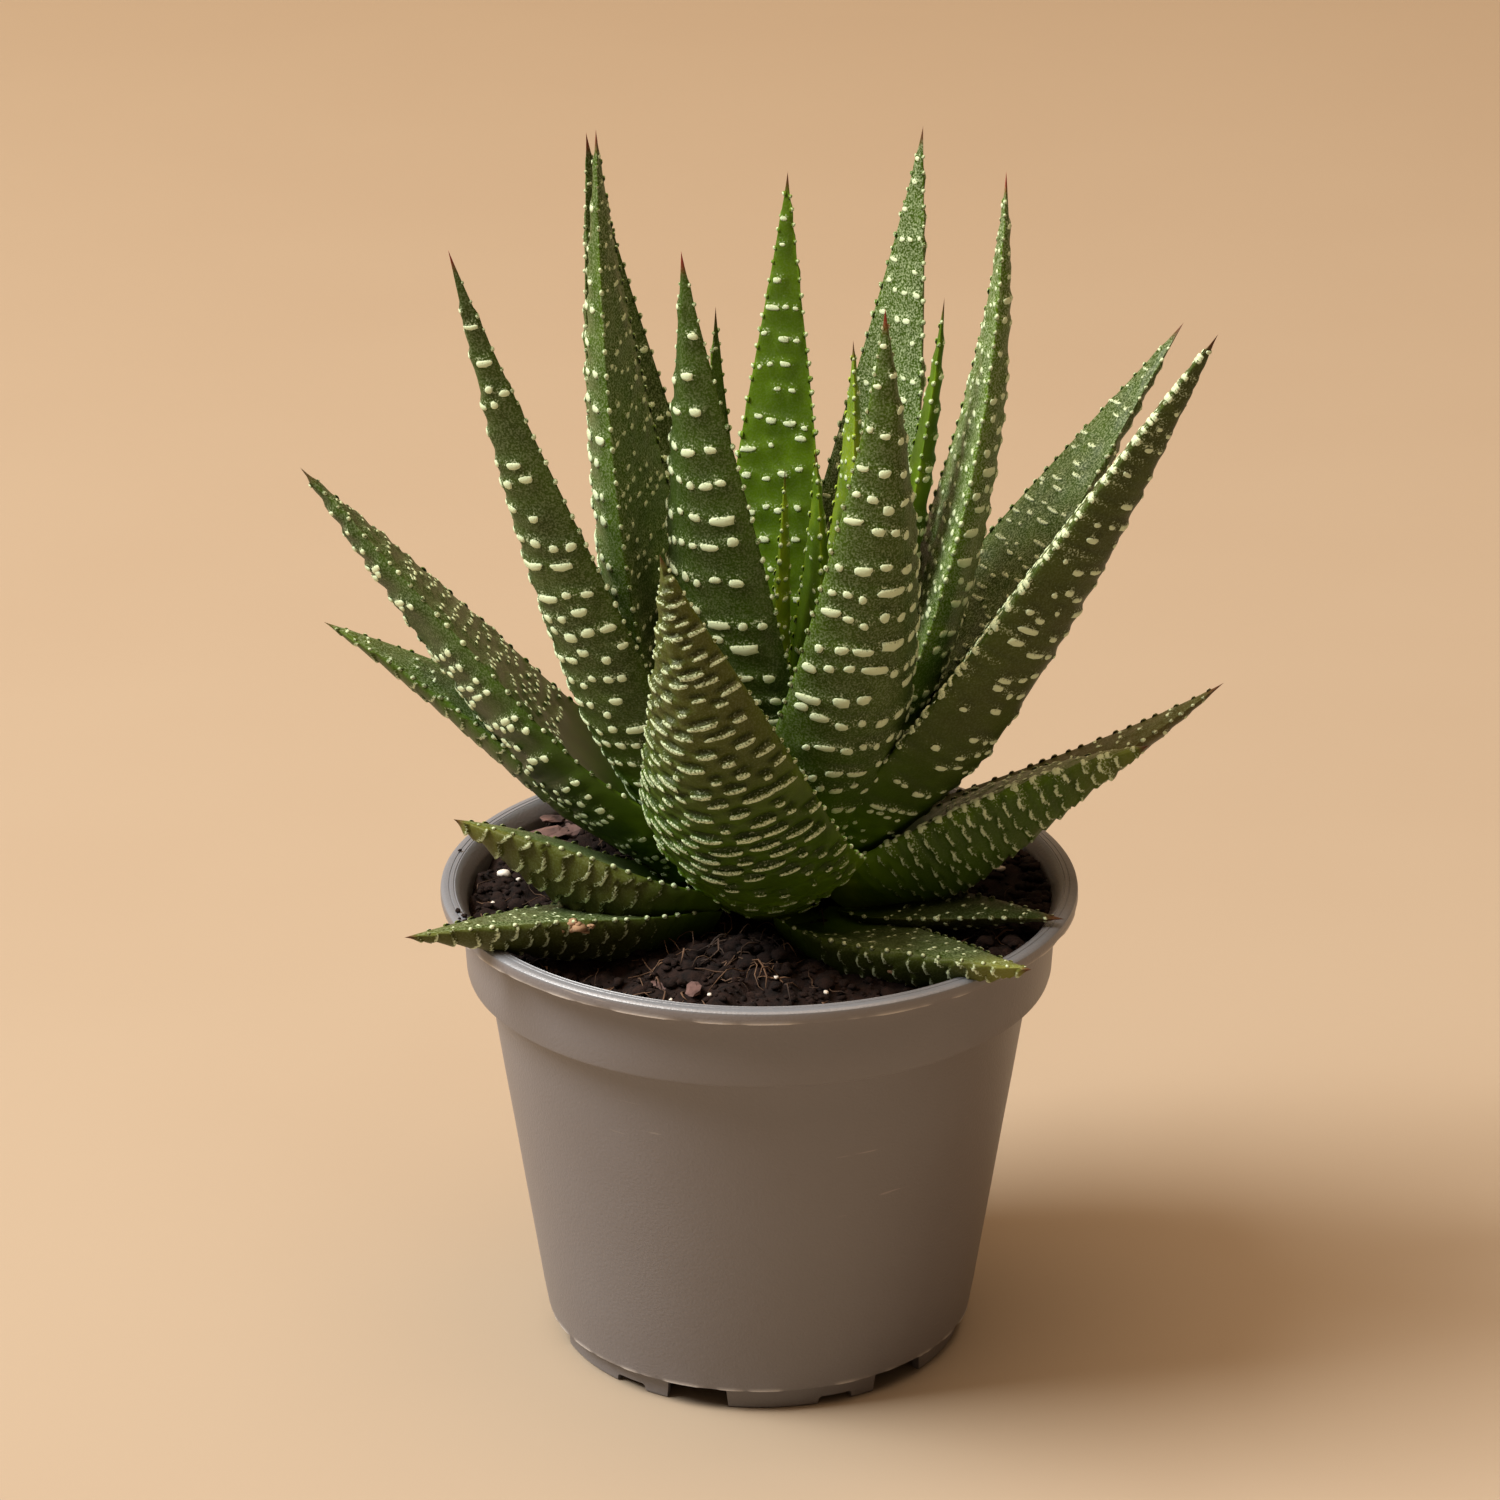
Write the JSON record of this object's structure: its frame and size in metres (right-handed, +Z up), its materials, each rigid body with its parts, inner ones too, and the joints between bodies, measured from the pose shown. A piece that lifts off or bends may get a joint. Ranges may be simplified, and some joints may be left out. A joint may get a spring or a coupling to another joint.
{
  "type": "potted succulent plant",
  "caption": "Succulent rosette of thick, pointed, warty leaves growing in potting soil in a plain round plastic nursery pot.",
  "frame": {"origin": "middle of the pot's foot, on the surface it stands on", "axes": "+Z up out of the pot, -Y towards the front of the plant, +X to the right seen from the front"},
  "size_m": [0.1713, 0.12, 0.24],
  "materials": {
    "leaf": "living leaf: dark to olive green, waxy satin, with cream warts and reddish points",
    "stem": "short fleshy stem, pale yellow-green, matte",
    "soil": "dark brown peat with fibres, bark and white perlite, matte",
    "pot": "moulded grey-brown polypropylene, fine grain, satin"
  },
  "bodies": {
    "root": {"leaf_01": "leaf", "leaf_02": "leaf", "leaf_03": "leaf", "leaf_04": "leaf", "leaf_05": "leaf", "leaf_06": "leaf", "leaf_07": "leaf", "leaf_08": "leaf", "leaf_09": "leaf", "leaf_10": "leaf", "leaf_11": "leaf", "leaf_12": "leaf", "leaf_13": "leaf", "leaf_14": "leaf", "leaf_15": "leaf", "leaf_16": "leaf", "leaf_17": "leaf", "leaf_18": "leaf", "leaf_19": "leaf", "leaf_20": "leaf", "leaf_21": "leaf", "leaf_22": "leaf", "leaf_23": "leaf", "leaf_24": "leaf", "leaf_25": "leaf", "leaf_26": "leaf", "leaf_27": "leaf", "leaf_28": "leaf", "leaf_29": "leaf", "leaf_30": "leaf", "stem": "stem", "soil": "soil", "pot": "pot"}
  },
  "joints": []
}
